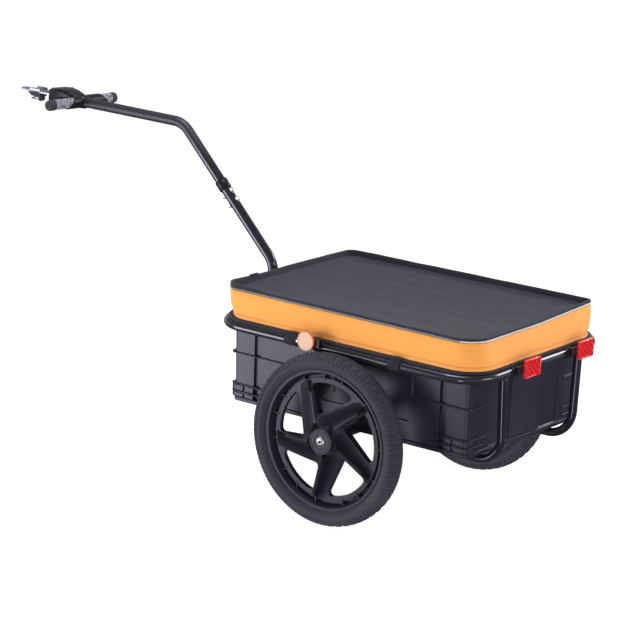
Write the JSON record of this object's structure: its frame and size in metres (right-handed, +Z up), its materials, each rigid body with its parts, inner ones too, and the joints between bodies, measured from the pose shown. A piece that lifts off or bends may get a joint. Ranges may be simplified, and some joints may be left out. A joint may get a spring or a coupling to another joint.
{
  "type": "cargo bike trailer",
  "caption": "Cargo bike trailer: tubular ring frame, plastic tub under a fabric cover, moulded spoked wheels, cranked drawbar with hand grips and a swivelling hitch.",
  "frame": {"origin": "on the ground under the middle of the trailer's overall box, the wheels standing on it", "axes": "+X forward along the trailer to the hitch, +Y to the trailer's left, +Z up"},
  "size_m": [1.5788, 0.6544, 0.8],
  "materials": {
    "frame_paint": "gloss black powder coat",
    "tub_plastic": "satin moulded plastic",
    "wheel_plastic": "satin moulded plastic",
    "tyre_rubber": "matt rubber with small tread blocks",
    "tube_rubber": "matt",
    "black_plastic": "satin",
    "orange_fabric": "coated woven cloth",
    "black_fabric": "coated woven cloth",
    "silver_piping": "reflective piping",
    "webbing": "woven webbing",
    "amber_lens": "clear lens over prisms",
    "red_lens": "clear lens over prisms",
    "grip_rubber": "soft matt rubber",
    "cap_rubber": "matt rubber",
    "zinc_steel": "bright zinc plate",
    "bright_steel": "bright"
  },
  "bodies": {
    "frame": {"ring_frame": "frame_paint", "hoop_left": "frame_paint", "hoop_right": "frame_paint", "axle_beam": "frame_paint", "front_brace": "frame_paint", "strap_left_front": "webbing", "strap_left_rear": "webbing", "strap_right_front": "webbing", "strap_right_rear": "webbing", "side_reflector_left_lens": "amber_lens", "side_reflector_left_bracket": "black_plastic", "side_reflector_left_screw": "bright_steel", "side_reflector_right_lens": "amber_lens", "side_reflector_right_bracket": "black_plastic", "side_reflector_right_screw": "bright_steel", "rear_reflector_left_lens": "red_lens", "rear_reflector_left_clamp": "black_plastic", "rear_reflector_right_lens": "red_lens", "rear_reflector_right_clamp": "black_plastic", "lower_drawbar": "frame_paint", "upper_drawbar": "frame_paint", "drawbar_collar": "black_plastic", "drawbar_lower_bolt": "bright_steel", "drawbar_lower_nut": "bright_steel", "drawbar_upper_bolt": "bright_steel", "drawbar_upper_nut": "bright_steel", "drawbar_rail_clamp": "frame_paint", "drawbar_brace_clamp": "frame_paint", "handle_head": "black_plastic", "handle_crossbar": "frame_paint", "grip_left": "grip_rubber", "grip_cap_left": "cap_rubber", "grip_right": "grip_rubber", "grip_cap_right": "cap_rubber", "hitch_swivel_pin": "bright_steel"},
    "wheel_left": {"wheel_left_tyre": "tyre_rubber", "wheel_left_inner_tube": "tube_rubber", "wheel_left_rim": "wheel_plastic", "wheel_left_outer_bearing": "bright_steel", "wheel_left_inner_bearing": "bright_steel"},
    "wheel_right": {"wheel_right_tyre": "tyre_rubber", "wheel_right_inner_tube": "tube_rubber", "wheel_right_rim": "wheel_plastic", "wheel_right_outer_bearing": "bright_steel", "wheel_right_inner_bearing": "bright_steel"},
    "button_left": {"release_button_left": "black_plastic"},
    "button_right": {"release_button_right": "black_plastic"},
    "hitch": {"hitch_plate": "zinc_steel", "hitch_jaw_block": "cap_rubber"},
    "bail": {"hitch_bail": "zinc_steel"},
    "tub": {"tub": "tub_plastic"},
    "cover": {"cover_side_panel": "orange_fabric", "cover_top_panel": "black_fabric", "cover_piping": "silver_piping", "cover_hem": "black_fabric", "cover_pull_loop": "webbing"},
    "axle_left": {"axle_pin_left": "bright_steel"},
    "axle_right": {"axle_pin_right": "bright_steel"}
  },
  "joints": [
    {"name": "axle_pull_left", "type": "slide", "parent": "frame", "child": "axle_left", "axis": [0, 1, 0], "range_m": [0, 0.1]},
    {"name": "wheel_left_spin", "type": "hinge", "parent": "axle_left", "child": "wheel_left", "pos_m": [-0.3945, 0.295, 0.2], "axis": [0, 1, 0], "continuous": true},
    {"name": "axle_pull_right", "type": "slide", "parent": "frame", "child": "axle_right", "axis": [0, -1, 0], "range_m": [0, 0.1]},
    {"name": "wheel_right_spin", "type": "hinge", "parent": "axle_right", "child": "wheel_right", "pos_m": [-0.3945, -0.295, 0.2], "axis": [0, 1, 0], "continuous": true},
    {"name": "button_left_press", "type": "slide", "parent": "axle_left", "child": "button_left", "axis": [0, -1, 0], "range_m": [0, 0.0016], "stiffness_N_per_m": 300, "springref_m": -0.002},
    {"name": "button_right_press", "type": "slide", "parent": "axle_right", "child": "button_right", "axis": [0, 1, 0], "range_m": [0, 0.0016], "stiffness_N_per_m": 300, "springref_m": -0.002},
    {"name": "hitch_swivel", "type": "hinge", "parent": "frame", "child": "hitch", "pos_m": [0.6885, 0, 0.776], "axis": [0, 0, 1], "range_deg": [-45, 45]},
    {"name": "bail_swing", "type": "hinge", "parent": "hitch", "child": "bail", "pos_m": [0.7275, 0, 0.759], "axis": [0, 1, 0], "range_deg": [0, 60]},
    {"name": "tub_lift", "type": "slide", "parent": "frame", "child": "tub", "axis": [0, 0, 1], "range_m": [0, 0.22]},
    {"name": "cover_lift", "type": "slide", "parent": "tub", "child": "cover", "axis": [0, 0, 1], "range_m": [0, 0.15]}
  ]
}
